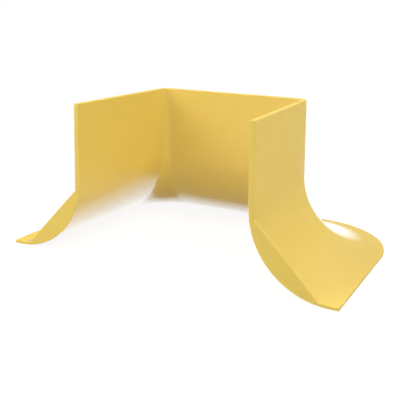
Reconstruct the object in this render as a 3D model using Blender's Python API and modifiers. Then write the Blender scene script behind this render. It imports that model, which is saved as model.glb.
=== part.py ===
"""Trumpet flare of a fibre raceway: a three-sided channel whose walls turn outward into a wide flare.

Metres, +Z up. The origin is under the middle of the piece, on the surface that the lip stands on.
The open side of the channel faces -Y, the back wall is towards +Y.
"""
import math

import bmesh
import bpy
from mathutils import Vector

# Channel
CHANNEL_WIDTH = 0.1000
CHANNEL_DEPTH = 0.0865
WALL_HEIGHT = 0.0440
WALL_THICKNESS = 0.0030
CORNER_RADIUS = 0.0040
WALL_DRAFT = math.radians(1.5)
SIDE_TAPER = math.radians(2.5)

# Flare and lip
FLARE_RADIUS = 0.0445
LIP_LENGTH = 0.0042
LIP_BACK_LENGTH = 0.0025
LIP_CORNER_RADIUS = 0.0525
LIP_THICKNESS = 0.0018

# Front webs
WEB_THICKNESS = 0.0014
WEB_START_ANGLE = math.radians(8.5)
WEB_END_ANGLE = math.radians(81.0)

# Rounded edges
EDGE_RADIUS = 0.0005
EDGE_STEPS = 2
SHARP_ANGLE = math.radians(30.0)

# Steps along the curved surfaces
WALL_TO_WEB_STEPS = 2
WEB_STEPS = 18
WEB_TO_LIP_STEPS = 3
CORNER_STEPS = 14

# Sizes that follow from those above
FLARE_END_ANGLE = math.pi / 2
FLARE_CENTRE_OUT = WALL_HEIGHT * math.tan(WALL_DRAFT) + FLARE_RADIUS * math.cos(WALL_DRAFT)
FLARE_CENTRE_UP = FLARE_RADIUS
RIM_UP = FLARE_RADIUS * (1.0 - math.sin(WALL_DRAFT)) + WALL_HEIGHT
FRONT_REACH = FLARE_CENTRE_OUT + LIP_LENGTH
CORNER_CENTRE_BACK = CHANNEL_DEPTH - CORNER_RADIUS
CORNER_CENTRE_SIDE = (
    CHANNEL_WIDTH / 2 - CORNER_CENTRE_BACK * math.tan(SIDE_TAPER) - CORNER_RADIUS / math.cos(SIDE_TAPER)
)
LIP_EDGE_SIDE = CHANNEL_WIDTH / 2 + FRONT_REACH / math.cos(SIDE_TAPER)
LIP_EDGE_BACK = (CHANNEL_DEPTH + FLARE_CENTRE_OUT + LIP_BACK_LENGTH) / 2
FRONT_Y = -LIP_EDGE_BACK
SIDE_DIRECTION = Vector((-math.tan(SIDE_TAPER), 1.0, 0.0))
CORNER_CENTRE = Vector((CORNER_CENTRE_SIDE, FRONT_Y + CORNER_CENTRE_BACK, 0.0))
SPUN_LIP_REACH = (LIP_EDGE_SIDE - CORNER_CENTRE_SIDE) / math.cos(SIDE_TAPER)
LIP_CORNER_CENTRE = Vector((LIP_EDGE_SIDE - LIP_CORNER_RADIUS, LIP_EDGE_BACK - LIP_CORNER_RADIUS, 0.0))


def clear_scene():
    for item in list(bpy.data.objects):
        bpy.data.objects.remove(item, do_unlink=True)


def make_plastic(name, colour):
    material = bpy.data.materials.new(name)
    material.use_nodes = True
    shader = material.node_tree.nodes["Principled BSDF"]
    shader.inputs["Base Color"].default_value = colour
    shader.inputs["Roughness"].default_value = 0.35
    shader.inputs["IOR"].default_value = 1.5
    return material


def spread(first, last, steps):
    """Evenly spaced values from first up to, but not including, last."""
    return [first + (last - first) * i / steps for i in range(steps)]


def flare_angles():
    """Tangent angles of the flare, with one at each end of the web."""
    angles = spread(WALL_DRAFT, WEB_START_ANGLE, WALL_TO_WEB_STEPS)
    angles += spread(WEB_START_ANGLE, WEB_END_ANGLE, WEB_STEPS)
    angles += spread(WEB_END_ANGLE, FLARE_END_ANGLE, WEB_TO_LIP_STEPS)
    return angles + [FLARE_END_ANGLE]


def thickness_at(angle):
    """The wall thins evenly along the flare, from the wall thickness to the lip thickness."""
    share = (angle - WALL_DRAFT) / (FLARE_END_ANGLE - WALL_DRAFT)
    return WALL_THICKNESS + (LIP_THICKNESS - WALL_THICKNESS) * share


def flare_point(angle, offset):
    """Distance out from the inner rim, and height, of a point of the flare."""
    radius = FLARE_RADIUS - offset
    return (FLARE_CENTRE_OUT - radius * math.cos(angle), FLARE_CENTRE_UP - radius * math.sin(angle))


def section_lines():
    """The inner and the outer line of the wall, from the rim to the edge of the lip."""
    inner = [(0.0, RIM_UP)]
    outer = [(WALL_THICKNESS / math.cos(WALL_DRAFT), RIM_UP)]
    for angle in flare_angles():
        inner.append(flare_point(angle, 0.0))
        outer.append(flare_point(angle, thickness_at(angle)))
    inner.append((FRONT_REACH, 0.0))
    outer.append((FRONT_REACH, LIP_THICKNESS))
    return inner, outer


def front_vertex(bm, point):
    out, up = point
    return bm.verts.new((CHANNEL_WIDTH / 2 + out / math.cos(SIDE_TAPER), FRONT_Y, up))


def make_front_section(bm):
    """The end face of one side: wall strips, and the web between the flare and its chord."""
    inner, outer = section_lines()
    inner = [front_vertex(bm, point) for point in inner]
    outer = [front_vertex(bm, point) for point in outer]
    wall = []
    for i in range(len(inner) - 1):
        wall.append(bm.faces.new((inner[i], inner[i + 1], outer[i + 1], outer[i])))
    first = 1 + WALL_TO_WEB_STEPS
    web = bm.faces.new(outer[first:first + WEB_STEPS + 1])
    return wall, web


def vertices_of(faces):
    return list(dict.fromkeys(vertex for face in faces for vertex in face.verts))


def geometry_of(faces):
    """The faces with all their edges and vertices."""
    edges = dict.fromkeys(edge for face in faces for edge in face.edges)
    return list(faces) + list(edges) + vertices_of(faces)


def extrude(bm, faces):
    """Extrude faces in place and return the new faces."""
    result = bmesh.ops.extrude_face_region(bm, geom=geometry_of(faces))
    return [item for item in result["geom"] if isinstance(item, bmesh.types.BMFace)]


def on_lip_edge(vertex):
    return abs(vertex.co.x - LIP_EDGE_SIDE) < 1e-7


def shift_along_side(vertices, length):
    """Move a section back along the wall. The edge of the lip stays square to the front."""
    for vertex in vertices:
        if on_lip_edge(vertex):
            vertex.co.y += length
        else:
            vertex.co += SIDE_DIRECTION * length


def carry_to_corner(vertices):
    """Move a section along the wall into the plane where the corner turn starts."""
    along = SIDE_DIRECTION.normalized()
    for vertex in vertices:
        step = Vector((0.0, 1.0, 0.0)) if on_lip_edge(vertex) else along
        gap = CORNER_CENTRE - vertex.co
        gap.z = 0.0
        vertex.co += step * (gap.dot(along) / step.dot(along))


def turn_corner(bm, faces):
    """Spin the section about the corner axis, from the side wall to the back wall."""
    result = bmesh.ops.spin(
        bm,
        geom=geometry_of(faces),
        cent=CORNER_CENTRE,
        axis=(0.0, 0.0, 1.0),
        angle=math.pi / 2 - SIDE_TAPER,
        steps=CORNER_STEPS,
        use_merge=False,
        use_duplicate=False,
    )
    return [item for item in result["geom_last"] if isinstance(item, bmesh.types.BMFace)]


def lip_reach(direction):
    """Distance from the corner axis to the edge of the lip, along a level direction."""
    to_centre = LIP_CORNER_CENTRE - CORNER_CENTRE
    along = to_centre.dot(direction)
    across_squared = to_centre.length_squared - along ** 2
    reach = along + math.sqrt(LIP_CORNER_RADIUS ** 2 - across_squared)
    on_arc = CORNER_CENTRE + direction * reach
    if on_arc.x < LIP_CORNER_CENTRE.x:
        return (LIP_EDGE_BACK - CORNER_CENTRE.y) / direction.y
    if on_arc.y < LIP_CORNER_CENTRE.y:
        return (LIP_EDGE_SIDE - CORNER_CENTRE.x) / direction.x
    return reach


def draw_lip_corner(bm):
    """Move the spun edge of the lip to its outline: a straight side, an arc and a straight back."""
    for vertex in bm.verts:
        ray = vertex.co - CORNER_CENTRE
        ray.z = 0.0
        if abs(ray.length - SPUN_LIP_REACH) < 1e-6:
            direction = ray.normalized()
            vertex.co += direction * (lip_reach(direction) - ray.length)


def mark_rounded_edges(bm):
    """Give a bevel weight to each outward edge that is sharp."""
    weights = bm.edges.layers.float.new("bevel_weight_edge")
    for edge in bm.edges:
        if len(edge.link_faces) == 2 and edge.calc_face_angle_signed() > SHARP_ANGLE:
            edge[weights] = 1.0


def make_half_mesh():
    """The half of the piece at +X, open where it meets the middle plane."""
    bm = bmesh.new()
    wall, web = make_front_section(bm)
    behind_web = extrude(bm, wall + [web])
    shift_along_side(vertices_of(behind_web), WEB_THICKNESS)
    wall = [face for face in behind_web if len(face.verts) == 4]
    wall = extrude(bm, wall)
    carry_to_corner(vertices_of(wall))
    wall = turn_corner(bm, wall)
    draw_lip_corner(bm)
    wall = extrude(bm, wall)
    for vertex in vertices_of(wall):
        vertex.co.x = 0.0
    bmesh.ops.delete(bm, geom=wall, context="FACES")
    bmesh.ops.recalc_face_normals(bm, faces=bm.faces)
    mark_rounded_edges(bm)
    mesh = bpy.data.meshes.new("trumpet_flare")
    bm.to_mesh(mesh)
    bm.free()
    return mesh


def make_trumpet_flare(collection, material):
    mesh = make_half_mesh()
    mesh.materials.append(material)
    mesh.shade_smooth()
    flare = bpy.data.objects.new("trumpet_flare", mesh)
    collection.objects.link(flare)

    mirror = flare.modifiers.new("other_half", "MIRROR")
    mirror.use_axis = (True, False, False)
    mirror.use_clip = True
    mirror.merge_threshold = 0.00001

    rounding = flare.modifiers.new("rounded_edges", "BEVEL")
    rounding.limit_method = "WEIGHT"
    rounding.offset_type = "OFFSET"
    rounding.width = min(EDGE_RADIUS, LIP_THICKNESS * 0.4, WEB_THICKNESS * 0.4)
    rounding.segments = EDGE_STEPS
    rounding.use_clamp_overlap = True
    return flare


def main():
    clear_scene()
    collection = bpy.data.collections.new("fibre_raceway_fitting")
    bpy.context.scene.collection.children.link(collection)
    plastic = make_plastic("yellow_plastic", (0.83, 0.55, 0.10, 1.0))
    make_trumpet_flare(collection, plastic)


main()
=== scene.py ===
"""Looks of the fibre raceway fitting: one moulded piece of satin yellow plastic on a white table.

Metres, +Z up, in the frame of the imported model. The open side of the channel faces -Y.
"""
import math

import bmesh
import bpy
from mathutils import Matrix, Vector

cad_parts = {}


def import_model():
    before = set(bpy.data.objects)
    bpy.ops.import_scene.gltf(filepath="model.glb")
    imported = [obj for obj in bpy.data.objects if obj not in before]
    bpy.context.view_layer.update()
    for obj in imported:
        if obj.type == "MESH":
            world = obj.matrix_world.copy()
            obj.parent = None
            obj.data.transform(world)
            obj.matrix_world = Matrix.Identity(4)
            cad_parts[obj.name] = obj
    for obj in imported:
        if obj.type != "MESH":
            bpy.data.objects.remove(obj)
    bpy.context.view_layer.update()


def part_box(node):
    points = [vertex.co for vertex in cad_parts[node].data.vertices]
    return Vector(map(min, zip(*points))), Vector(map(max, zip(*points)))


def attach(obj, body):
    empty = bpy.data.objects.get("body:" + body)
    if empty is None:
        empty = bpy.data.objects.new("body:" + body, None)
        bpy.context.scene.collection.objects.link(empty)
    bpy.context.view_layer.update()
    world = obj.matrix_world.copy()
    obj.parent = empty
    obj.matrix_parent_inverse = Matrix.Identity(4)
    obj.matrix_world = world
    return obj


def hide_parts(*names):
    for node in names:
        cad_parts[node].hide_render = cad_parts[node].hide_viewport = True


NODE = "trumpet_flare"
SLOT = "yellow_plastic"

# Channel, as in the solid
CHANNEL_WIDTH = 0.1000
CHANNEL_DEPTH = 0.0865
WALL_HEIGHT = 0.0440
WALL_THICKNESS = 0.0030
CORNER_RADIUS = 0.0040
WALL_DRAFT = math.radians(1.5)
SIDE_TAPER = math.radians(2.5)
FLARE_RADIUS = 0.0445
LIP_LENGTH = 0.0042
LIP_BACK_LENGTH = 0.0025
LIP_CORNER_RADIUS = 0.0525
LIP_THICKNESS = 0.0018
WEB_THICKNESS = 0.0014
WEB_START_ANGLE = math.radians(8.5)
WEB_END_ANGLE = math.radians(81.0)
EDGE_RADIUS = 0.0005
FLARE_END_ANGLE = math.pi / 2

# Fineness of the visible surface
EDGE_STEPS = 4
SHARP_ANGLE = math.radians(30.0)
WALL_TO_WEB_STEPS = 6
WEB_STEPS = 44
WEB_TO_LIP_STEPS = 7
CORNER_STEPS = 40
RIM_DROPS = (0.0, 0.0010)

# Distances that count as none
SAME_PLACE = 0.000001
MERGE_DISTANCE = 0.00001

# Sizes that follow
FLARE_CENTRE_OUT = WALL_HEIGHT * math.tan(WALL_DRAFT) + FLARE_RADIUS * math.cos(WALL_DRAFT)
RIM_UP = FLARE_RADIUS * (1.0 - math.sin(WALL_DRAFT)) + WALL_HEIGHT
FRONT_REACH = FLARE_CENTRE_OUT + LIP_LENGTH
CORNER_CENTRE_BACK = CHANNEL_DEPTH - CORNER_RADIUS
CORNER_CENTRE_SIDE = (
    CHANNEL_WIDTH / 2
    - CORNER_CENTRE_BACK * math.tan(SIDE_TAPER)
    - CORNER_RADIUS / math.cos(SIDE_TAPER)
)
LIP_EDGE_SIDE = CHANNEL_WIDTH / 2 + FRONT_REACH / math.cos(SIDE_TAPER)
LIP_EDGE_BACK = CHANNEL_DEPTH + FLARE_CENTRE_OUT + LIP_BACK_LENGTH
SPUN_LIP_REACH = (LIP_EDGE_SIDE - CORNER_CENTRE_SIDE) / math.cos(SIDE_TAPER)
LIP_CENTRE_SIDE = LIP_EDGE_SIDE - LIP_CORNER_RADIUS
LIP_CENTRE_BACK = LIP_EDGE_BACK - LIP_CORNER_RADIUS
SIDE_DIRECTION = Vector((-math.tan(SIDE_TAPER), 1.0, 0.0))

# Finish: the channel side is polished, the outside is satin, and the edges are matt.
# Polish fades in from POLISH_STARTS to POLISHED, and sheen from MATT to SHEEN_COMPLETE.
FINISH = "finish"
MATT = -1.0
SATIN = 0.0
POLISHED = 1.0
POLISH_STARTS = 0.8
SHEEN_COMPLETE = -0.4
CORNER_DULLING = 0.2
COLOUR_LOW = (0.861, 0.621, 0.123, 1.0)
COLOUR_HIGH = (0.875, 0.632, 0.127, 1.0)
PLASTIC_IOR = 1.35
OUTSIDE_ROUGHNESS = 0.53
CHANNEL_ROUGHNESS = 0.34
COAT_SHARE = 0.62
COAT_ROUGHNESS = 0.45
COAT_IOR = 1.5
GRAZING_ROUGHNESS = 0.27
OUTSIDE_GRAZING = (0.71, 0.90)
CHANNEL_GRAZING = (0.50, 0.87)

# Patterns in the plastic: noise per metre, its detail, and the range of the noise that is used
MOTTLE_SCALE = 90.0
MOTTLE_DETAIL = 3.0
MOTTLE_RANGE = (0.35, 0.65)
UNEVEN_SCALE = 160.0
UNEVEN_DETAIL = 3.0
UNEVEN_RANGE = (0.3, 0.7)
ROUGHNESS_SPREAD = 0.02
GRAIN_SCALE = 400.0
GRAIN_DETAIL = 2.0
GRAIN_STRENGTH = 0.1
GRAIN_HEIGHT = 0.00002

# Camera: metres, with the sensor in millimetres and the focal length in pixels of the photo
PHOTO_SIDE = 400
SENSOR = 36.0
FOCAL_PIXELS = 703.4
CAMERA_FROM_FRONT = Vector((0.18202, -0.30401, 0.05431))
CAMERA_YAW = math.radians(27.39)
CAMERA_PITCH = math.radians(-15.84)
CAMERA_ROLL = math.radians(0.85)
CAMERA_NEAR = 0.01
CAMERA_FAR = 20.0

# Light
WHITE = (1.0, 1.0, 1.0, 1.0)
WHITE_STRENGTH = 1.0
ROOM_STRENGTH = 0.22
SOFTBOXES = (
    # name, place from the middle of the object, side, watts
    ("front_left_softbox", (-0.9, -0.9, 0.8), 0.9, 5.6),
    ("left_softbox", (-1.25, 0.0, 0.35), 0.9, 5.5),
    ("right_softbox", (0.8, 0.0, 1.0), 0.9, 9.4),
    ("front_softbox", (0.3, -1.3, 0.3), 0.9, 1.8),
    ("rear_softbox", (0.1, 1.1, 0.7), 0.9, 3.0),
    ("near_softbox", (-0.28, -0.2, 0.34), 0.35, 0.8),
    ("overhead_softbox", (0.0, -0.14, 0.42), 0.35, 0.3),
    ("low_rear_softbox", (-0.15, 1.3, 0.08), 0.5, 0.6),
)
FLOOR_SIZE = 80.0
FLOOR_COLOUR = (0.62, 0.62, 0.62, 1.0)
FLOOR_SHADOW_COLOUR = (0.16, 0.16, 0.16, 1.0)
FLOOR_GLOW = 0.90
SHADOW_FADE = (0.12, 0.40)

# Backdrop and ceiling meet between these heights, as sines of the angle above the horizon
BACKDROP_TOP = 0.12
CEILING_START = 0.25
CEILING_COLOUR = (0.15, 0.15, 0.15, 1.0)


def spread(first, last, steps):
    """Evenly spaced values from first up to, but not including, last."""
    return [first + (last - first) * i / steps for i in range(steps)]


def flare_angles():
    """Angles along the flare, with a step where the web starts and one where it ends."""
    angles = spread(WALL_DRAFT, WEB_START_ANGLE, WALL_TO_WEB_STEPS)
    angles += spread(WEB_START_ANGLE, WEB_END_ANGLE, WEB_STEPS)
    angles += spread(WEB_END_ANGLE, FLARE_END_ANGLE, WEB_TO_LIP_STEPS)
    return angles + [FLARE_END_ANGLE]


def thickness_at(angle):
    """Thickness of the flare, which thins evenly from the wall to the lip."""
    share = (angle - WALL_DRAFT) / (FLARE_END_ANGLE - WALL_DRAFT)
    return WALL_THICKNESS + (LIP_THICKNESS - WALL_THICKNESS) * share


def flare_point(angle, offset):
    """How far out and how high a point of the flare is, offset from the channel side."""
    radius = FLARE_RADIUS - offset
    return (FLARE_CENTRE_OUT - radius * math.cos(angle), FLARE_RADIUS - radius * math.sin(angle))


def section_lines():
    """The inner and the outer line of the wall, from the rim to the edge of the lip."""
    level_thickness = WALL_THICKNESS / math.cos(WALL_DRAFT)
    inner, outer = [], []
    for drop in RIM_DROPS:
        out = drop * math.tan(WALL_DRAFT)
        inner.append((out, RIM_UP - drop))
        outer.append((out + level_thickness, RIM_UP - drop))
    for angle in flare_angles():
        inner.append(flare_point(angle, 0.0))
        outer.append(flare_point(angle, thickness_at(angle)))
    inner.append((FRONT_REACH, 0.0))
    outer.append((FRONT_REACH, LIP_THICKNESS))
    return inner, outer


def vertices_of(faces):
    return list(dict.fromkeys(vertex for face in faces for vertex in face.verts))


def geometry_of(faces):
    edges = dict.fromkeys(edge for face in faces for edge in face.edges)
    return list(faces) + list(edges) + vertices_of(faces)


def new_faces(result):
    return [item for item in result if isinstance(item, bmesh.types.BMFace)]


def extrude(bm, faces):
    """Extrude the faces in place, and return the new ones."""
    return new_faces(bmesh.ops.extrude_face_region(bm, geom=geometry_of(faces))["geom"])


def front_vertex(bm, front_y, point, finish):
    """A vertex of the end face, with its finish."""
    out, up = point
    vertex = bm.verts.new((CHANNEL_WIDTH / 2 + out / math.cos(SIDE_TAPER), front_y, up))
    vertex[bm.verts.layers.float[FINISH]] = finish
    return vertex


def finished_line(bm, front_y, points, finish):
    """The vertices of one line of the section, matt at the rim and at the edge of the lip."""
    finishes = [MATT] + [finish] * (len(points) - 2) + [MATT]
    return [front_vertex(bm, front_y, point, own) for point, own in zip(points, finishes)]


def make_front_section(bm, front_y):
    """The end face of one side: the wall, and the web between the flare and its chord."""
    inner, outer = section_lines()
    inner = finished_line(bm, front_y, inner, POLISHED)
    outer = finished_line(bm, front_y, outer, SATIN)
    wall = []
    for i in range(len(inner) - 1):
        wall.append(bm.faces.new((inner[i], inner[i + 1], outer[i + 1], outer[i])))
    start = len(RIM_DROPS) + WALL_TO_WEB_STEPS
    end = start + WEB_STEPS + 1
    web = bm.faces.new(outer[start:end])
    return wall, web


def on_lip_edge(vertex):
    """Whether the vertex is on the straight side edge of the lip."""
    return abs(vertex.co.x - LIP_EDGE_SIDE) < SAME_PLACE


def shift_along_side(vertices, length):
    """Move the vertices back along the wall, and the edge of the lip straight back."""
    for vertex in vertices:
        if on_lip_edge(vertex):
            vertex.co.y += length
        else:
            vertex.co += SIDE_DIRECTION * length


def carry_to_corner(vertices, centre):
    """Move a section along the wall into the plane where the corner turn starts."""
    along = SIDE_DIRECTION.normalized()
    for vertex in vertices:
        step = Vector((0.0, 1.0, 0.0)) if on_lip_edge(vertex) else along
        gap = centre - vertex.co
        gap.z = 0.0
        vertex.co += step * (gap.dot(along) / step.dot(along))


def turn_corner(bm, faces, centre):
    """Spin the section from the side of the channel to its back."""
    result = bmesh.ops.spin(
        bm,
        geom=geometry_of(faces),
        cent=centre,
        axis=(0.0, 0.0, 1.0),
        angle=math.pi / 2 - SIDE_TAPER,
        steps=CORNER_STEPS,
    )
    return new_faces(result["geom_last"])


def lip_reach(direction):
    """Distance from the corner axis to the edge of the lip, along a level direction."""
    side = LIP_CENTRE_SIDE - CORNER_CENTRE_SIDE
    back = LIP_CENTRE_BACK - CORNER_CENTRE_BACK
    along = side * direction.x + back * direction.y
    across = side * direction.y - back * direction.x
    reach = along + math.sqrt(LIP_CORNER_RADIUS ** 2 - across ** 2)
    if direction.x * reach < side:
        return (LIP_EDGE_BACK - CORNER_CENTRE_BACK) / direction.y
    if direction.y * reach < back:
        return (LIP_EDGE_SIDE - CORNER_CENTRE_SIDE) / direction.x
    return reach


def draw_lip_corner(bm, centre):
    """Move the spun edge of the lip to its outline: a straight side, an arc and a straight back."""
    for vertex in bm.verts:
        ray = vertex.co - centre
        ray.z = 0.0
        if abs(ray.length - SPUN_LIP_REACH) < SAME_PLACE:
            direction = ray.normalized()
            vertex.co += direction * (lip_reach(direction) - ray.length)


def dull_corner(bm, centre):
    """Let the polish fade in the tight corner, where it is hard to reach in a mould."""
    turn = math.pi / 2 - SIDE_TAPER
    finish = bm.verts.layers.float[FINISH]
    for vertex in bm.verts:
        ray = vertex.co - centre
        turned = math.atan2(ray.y, ray.x) - SIDE_TAPER
        if vertex[finish] == POLISHED and 0.0 < turned < turn:
            height = min(vertex.co.z / FLARE_RADIUS, 1.0)
            vertex[finish] -= CORNER_DULLING * height * math.sin(math.pi * turned / turn)


def mark_rounded_edges(bm):
    """Give every sharp edge that isn't on the open middle the full bevel weight."""
    weights = bm.edges.layers.float.new("bevel_weight_edge")
    for edge in bm.edges:
        if len(edge.link_faces) == 2 and edge.calc_face_angle() > SHARP_ANGLE:
            edge[weights] = 1.0


def make_half_mesh(front_y):
    """The half of the piece at +X, open where it meets the middle plane."""
    bm = bmesh.new()
    bm.verts.layers.float.new(FINISH)
    centre = Vector((CORNER_CENTRE_SIDE, front_y + CORNER_CENTRE_BACK, 0.0))
    wall, web = make_front_section(bm, front_y)
    behind_web = extrude(bm, wall + [web])
    shift_along_side(vertices_of(behind_web), WEB_THICKNESS)
    wall = [face for face in behind_web if len(face.verts) == 4]
    wall = extrude(bm, wall)
    carry_to_corner(vertices_of(wall), centre)
    wall = turn_corner(bm, wall, centre)
    draw_lip_corner(bm, centre)
    dull_corner(bm, centre)
    wall = extrude(bm, wall)
    for vertex in vertices_of(wall):
        vertex.co.x = 0.0
    bmesh.ops.delete(bm, geom=wall, context="FACES")
    bmesh.ops.recalc_face_normals(bm, faces=bm.faces)
    mark_rounded_edges(bm)
    mesh = bpy.data.meshes.new("moulding")
    bm.to_mesh(mesh)
    bm.free()
    return mesh


def make_moulding(front_y, material):
    """The whole piece: the half mesh, mirrored, with its marked edges rounded."""
    mesh = make_half_mesh(front_y)
    mesh.materials.append(material)
    mesh.shade_smooth()
    moulding = bpy.data.objects.new("moulding", mesh)
    bpy.context.scene.collection.objects.link(moulding)

    mirror = moulding.modifiers.new("other_half", "MIRROR")
    mirror.use_clip = True
    mirror.merge_threshold = MERGE_DISTANCE

    rounding = moulding.modifiers.new("rounded_edges", "BEVEL")
    rounding.limit_method = "WEIGHT"
    rounding.width = EDGE_RADIUS
    rounding.segments = EDGE_STEPS

    normals = moulding.modifiers.new("flat_faces_stay_flat", "WEIGHTED_NORMAL")
    normals.mode = "FACE_AREA"
    return moulding


class Nodes:
    """Short names for building one node tree."""

    # Places of the sockets of the Mix node that take and give colours
    FIRST_COLOUR = 6
    SECOND_COLOUR = 7
    MIXED_COLOUR = 2

    def __init__(self, tree):
        self.tree = tree
        tree.nodes.clear()

    def add(self, kind, **settings):
        node = self.tree.nodes.new("ShaderNode" + kind)
        for name, value in settings.items():
            setattr(node, name, value)
        return node

    def link(self, output, target):
        self.tree.links.new(output, target)

    def put(self, value, target):
        """Give an input a plain value, or link another node's output to it."""
        if isinstance(value, bpy.types.NodeSocket):
            self.link(value, target)
        else:
            target.default_value = value

    def noise(self, scale, detail):
        """Noise in the object's own coordinates, so that scale is per metre."""
        place = self.add("TexCoord")
        node = self.add("TexNoise")
        node.inputs["Scale"].default_value = scale
        node.inputs["Detail"].default_value = detail
        self.link(place.outputs["Object"], node.inputs["Vector"])
        return node.outputs["Fac"]

    def remap(self, value, low_in, high_in, low_out, high_out):
        """The value moved from one range to another, and held inside it."""
        node = self.add("MapRange")
        self.put(value, node.inputs["Value"])
        self.put(low_in, node.inputs["From Min"])
        self.put(high_in, node.inputs["From Max"])
        self.put(low_out, node.inputs["To Min"])
        self.put(high_out, node.inputs["To Max"])
        return node.outputs["Result"]

    def mix_colours(self, share, first, second):
        node = self.add("Mix", data_type="RGBA")
        self.put(share, node.inputs[0])
        self.put(first, node.inputs[self.FIRST_COLOUR])
        self.put(second, node.inputs[self.SECOND_COLOUR])
        return node.outputs[self.MIXED_COLOUR]

    def mix_shaders(self, share, first, second):
        node = self.add("MixShader")
        self.put(share, node.inputs[0])
        self.put(first, node.inputs[1])
        self.put(second, node.inputs[2])
        return node.outputs[0]

    def sum(self, first, second):
        node = self.add("Math", operation="ADD")
        self.put(first, node.inputs[0])
        self.put(second, node.inputs[1])
        return node.outputs[0]


def paint_mottling(nodes, shader):
    noise = nodes.noise(MOTTLE_SCALE, MOTTLE_DETAIL)
    share = nodes.remap(noise, *MOTTLE_RANGE, 0.0, 1.0)
    nodes.link(nodes.mix_colours(share, COLOUR_LOW, COLOUR_HIGH), shader.inputs["Base Color"])


def set_gloss(nodes, shader, polish):
    """Uneven roughness all over, and a coat on the polished side."""
    roughness = nodes.remap(polish, 0.0, 1.0, OUTSIDE_ROUGHNESS, CHANNEL_ROUGHNESS)
    noise = nodes.noise(UNEVEN_SCALE, UNEVEN_DETAIL)
    unevenness = nodes.remap(noise, *UNEVEN_RANGE, -ROUGHNESS_SPREAD, ROUGHNESS_SPREAD)
    nodes.link(nodes.sum(roughness, unevenness), shader.inputs["Roughness"])
    nodes.link(nodes.remap(polish, 0.0, 1.0, 0.0, COAT_SHARE), shader.inputs["Coat Weight"])
    shader.inputs["Coat Roughness"].default_value = COAT_ROUGHNESS
    shader.inputs["Coat IOR"].default_value = COAT_IOR
    shader.inputs["IOR"].default_value = PLASTIC_IOR


def add_grazing_gloss(nodes, shader, polish, sheen):
    """A white gloss that takes over towards grazing angles, sooner on the polished side."""
    gloss = nodes.add("BsdfGlossy")
    gloss.inputs["Color"].default_value = WHITE
    gloss.inputs["Roughness"].default_value = GRAZING_ROUGHNESS
    facing = nodes.add("LayerWeight").outputs["Facing"]
    start = nodes.remap(polish, 0.0, 1.0, OUTSIDE_GRAZING[0], CHANNEL_GRAZING[0])
    end = nodes.remap(polish, 0.0, 1.0, OUTSIDE_GRAZING[1], CHANNEL_GRAZING[1])
    grazing = nodes.remap(facing, start, end, 0.0, sheen)
    return nodes.mix_shaders(grazing, shader.outputs["BSDF"], gloss.outputs["BSDF"])


def add_grain(nodes, shader):
    grain = nodes.add("Bump")
    grain.inputs["Strength"].default_value = GRAIN_STRENGTH
    grain.inputs["Distance"].default_value = GRAIN_HEIGHT
    nodes.link(nodes.noise(GRAIN_SCALE, GRAIN_DETAIL), grain.inputs["Height"])
    nodes.link(grain.outputs["Normal"], shader.inputs["Normal"])


def make_plastic():
    """Moulded plastic: faint mottling, satin outside, polished and coated on the channel side."""
    material = bpy.data.materials.new(SLOT)
    material.use_nodes = True
    nodes = Nodes(material.node_tree)
    shader = nodes.add("BsdfPrincipled")
    finish = nodes.add("Attribute", attribute_name=FINISH).outputs["Fac"]
    polish = nodes.remap(finish, POLISH_STARTS, POLISHED, 0.0, 1.0)
    sheen = nodes.remap(finish, MATT, SHEEN_COMPLETE, 0.0, 1.0)

    paint_mottling(nodes, shader)
    set_gloss(nodes, shader, polish)
    add_grain(nodes, shader)
    surface = add_grazing_gloss(nodes, shader, polish, sheen)
    nodes.link(surface, nodes.add("OutputMaterial").inputs["Surface"])
    return material


def seen_directly(nodes):
    """1 for camera, mirror and glass rays, 0 for the rays that light the object."""
    path = nodes.add("LightPath")
    share = nodes.sum(path.outputs["Is Camera Ray"], path.outputs["Is Glossy Ray"])
    share = nodes.sum(share, path.outputs["Is Transmission Ray"])
    return nodes.remap(share, 0.0, 1.0, 0.0, 1.0)


def make_table_material():
    """A table that stays white to the eye, with a faint shadow near the object."""
    material = bpy.data.materials.new("white_table")
    material.use_nodes = True
    nodes = Nodes(material.node_tree)
    paint = nodes.add("BsdfDiffuse")
    paint.inputs["Color"].default_value = FLOOR_COLOUR
    faint_paint = nodes.add("BsdfDiffuse")
    faint_paint.inputs["Color"].default_value = FLOOR_SHADOW_COLOUR
    glow = nodes.add("Emission")
    glow.inputs["Color"].default_value = WHITE
    glow.inputs["Strength"].default_value = FLOOR_GLOW
    shadowed = nodes.add("AddShader")
    nodes.link(faint_paint.outputs[0], shadowed.inputs[0])
    nodes.link(glow.outputs[0], shadowed.inputs[1])
    plain_white = nodes.add("Emission")
    plain_white.inputs["Color"].default_value = WHITE
    plain_white.inputs["Strength"].default_value = WHITE_STRENGTH
    distance = nodes.add("VectorMath", operation="LENGTH")
    nodes.link(nodes.add("TexCoord").outputs["Object"], distance.inputs[0])
    fade = nodes.remap(distance.outputs["Value"], *SHADOW_FADE, 0.0, 1.0)
    seen = nodes.mix_shaders(fade, shadowed.outputs[0], plain_white.outputs[0])
    surface = nodes.mix_shaders(seen_directly(nodes), paint.outputs[0], seen)
    nodes.link(surface, nodes.add("OutputMaterial").inputs["Surface"])
    return material


def make_floor():
    bm = bmesh.new()
    bmesh.ops.create_grid(bm, x_segments=1, y_segments=1, size=FLOOR_SIZE / 2)
    mesh = bpy.data.meshes.new("table_top")
    bm.to_mesh(mesh)
    bm.free()
    mesh.materials.append(make_table_material())
    floor = bpy.data.objects.new("table_top", mesh)
    bpy.context.scene.collection.objects.link(floor)


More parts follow.
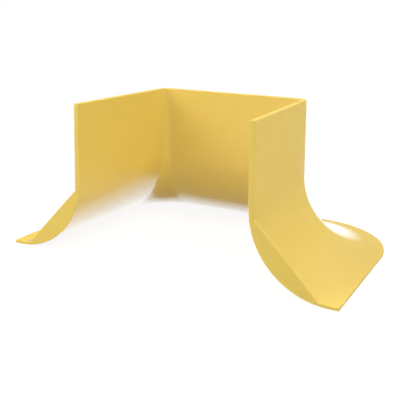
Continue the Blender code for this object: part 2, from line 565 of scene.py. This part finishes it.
def make_world():
    """Where it is seen or mirrored, white with a grey ceiling. Otherwise an even soft light."""
    world = bpy.data.worlds.new("studio")
    bpy.context.scene.world = world
    world.use_nodes = True
    nodes = Nodes(world.node_tree)
    room = nodes.add("Background")
    room.inputs["Color"].default_value = WHITE
    room.inputs["Strength"].default_value = ROOM_STRENGTH
    height = nodes.add("SeparateXYZ")
    nodes.link(nodes.add("TexCoord").outputs["Generated"], height.inputs[0])
    ceiling = nodes.remap(height.outputs["Z"], BACKDROP_TOP, CEILING_START, 0.0, 1.0)
    backdrop = nodes.add("Background")
    nodes.link(nodes.mix_colours(ceiling, WHITE, CEILING_COLOUR), backdrop.inputs["Color"])
    backdrop.inputs["Strength"].default_value = WHITE_STRENGTH
    surface = nodes.mix_shaders(seen_directly(nodes), room.outputs[0], backdrop.outputs[0])
    nodes.link(surface, nodes.add("OutputWorld").inputs["Surface"])


def add_softbox(name, place, target, size, power):
    """A square lamp of the given side and watts, turned to face the target."""
    light = bpy.data.lights.new(name, "AREA")
    light.shape = "SQUARE"
    light.size = size
    light.energy = power
    lamp = bpy.data.objects.new(name, light)
    lamp.location = place
    lamp.rotation_euler = (target - place).to_track_quat("-Z", "Y").to_euler()
    bpy.context.scene.collection.objects.link(lamp)


def make_lights(middle):
    for name, offset, size, power in SOFTBOXES:
        add_softbox(name, middle + Vector(offset), middle, size, power)


def make_camera(front_y):
    """The photograph's camera: 27 degrees round to the right, looking down 16 degrees."""
    camera = bpy.data.cameras.new("camera")
    camera.sensor_width = SENSOR
    camera.lens = FOCAL_PIXELS / PHOTO_SIDE * SENSOR
    camera.clip_start = CAMERA_NEAR
    camera.clip_end = CAMERA_FAR
    view = bpy.data.objects.new("camera", camera)
    bpy.context.scene.collection.objects.link(view)
    turn = Matrix.Rotation(CAMERA_YAW, 4, "Z")
    tip = Matrix.Rotation(math.pi / 2 + CAMERA_PITCH, 4, "X")
    roll = Matrix.Rotation(CAMERA_ROLL, 4, "Z")
    place = Matrix.Translation(CAMERA_FROM_FRONT + Vector((0.0, front_y, RIM_UP)))
    view.matrix_world = place @ turn @ tip @ roll
    bpy.context.scene.camera = view


def main():
    """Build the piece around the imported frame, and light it."""
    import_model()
    lowest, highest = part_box(NODE)
    front_y = lowest.y

    moulding = make_moulding(front_y, make_plastic())
    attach(moulding, "root")
    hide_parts(NODE)

    make_floor()
    make_world()
    make_lights((lowest + highest) / 2)
    make_camera(front_y)
    bpy.context.scene.view_settings.view_transform = "Standard"


main()
